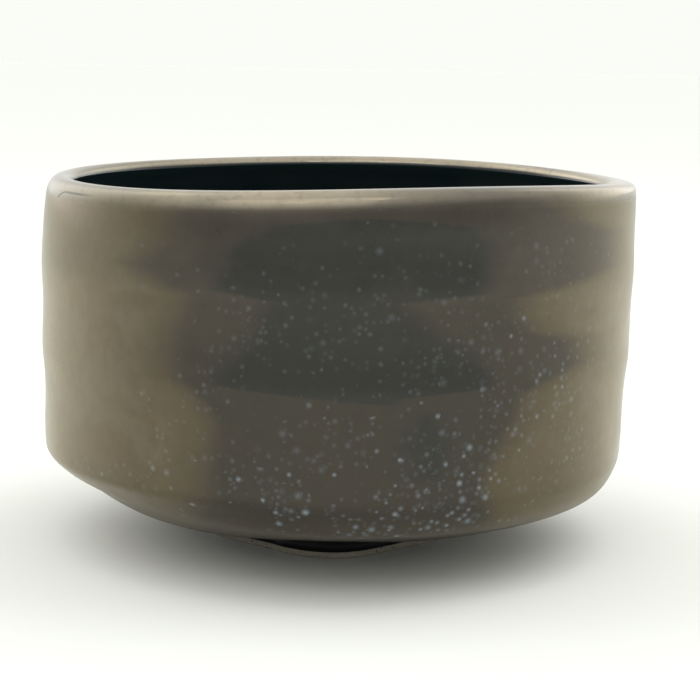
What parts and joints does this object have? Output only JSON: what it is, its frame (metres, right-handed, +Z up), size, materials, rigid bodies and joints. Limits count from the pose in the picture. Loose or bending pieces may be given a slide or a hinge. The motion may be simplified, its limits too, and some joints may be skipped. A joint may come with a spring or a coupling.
{
  "type": "matcha bowl",
  "caption": "Hand-thrown cylindrical matcha tea bowl with a satin dark iron glaze, glossy black inside, rolled lip and low cut foot.",
  "frame": {"origin": "centre of the bowl on the plane its foot stands on", "axes": "+Z up along the bowl's axis towards the rim, +X to the right, -Y towards the drinking side"},
  "size_m": [0.1216, 0.1216, 0.0752],
  "materials": {
    "bare_stoneware": "matte",
    "foot_stoneware": "matte",
    "satin_iron_glaze": "satin",
    "gloss_black_glaze": "gloss",
    "lip_gloss_glaze": "gloss",
    "foot_black_glaze": "gloss"
  },
  "bodies": {
    "root": {"stoneware_body": "bare_stoneware", "foot_ring": "foot_stoneware", "outer_glaze": "satin_iron_glaze", "inner_glaze": "gloss_black_glaze", "lip_glaze": "lip_gloss_glaze", "foot_glaze": "foot_black_glaze"}
  },
  "joints": []
}
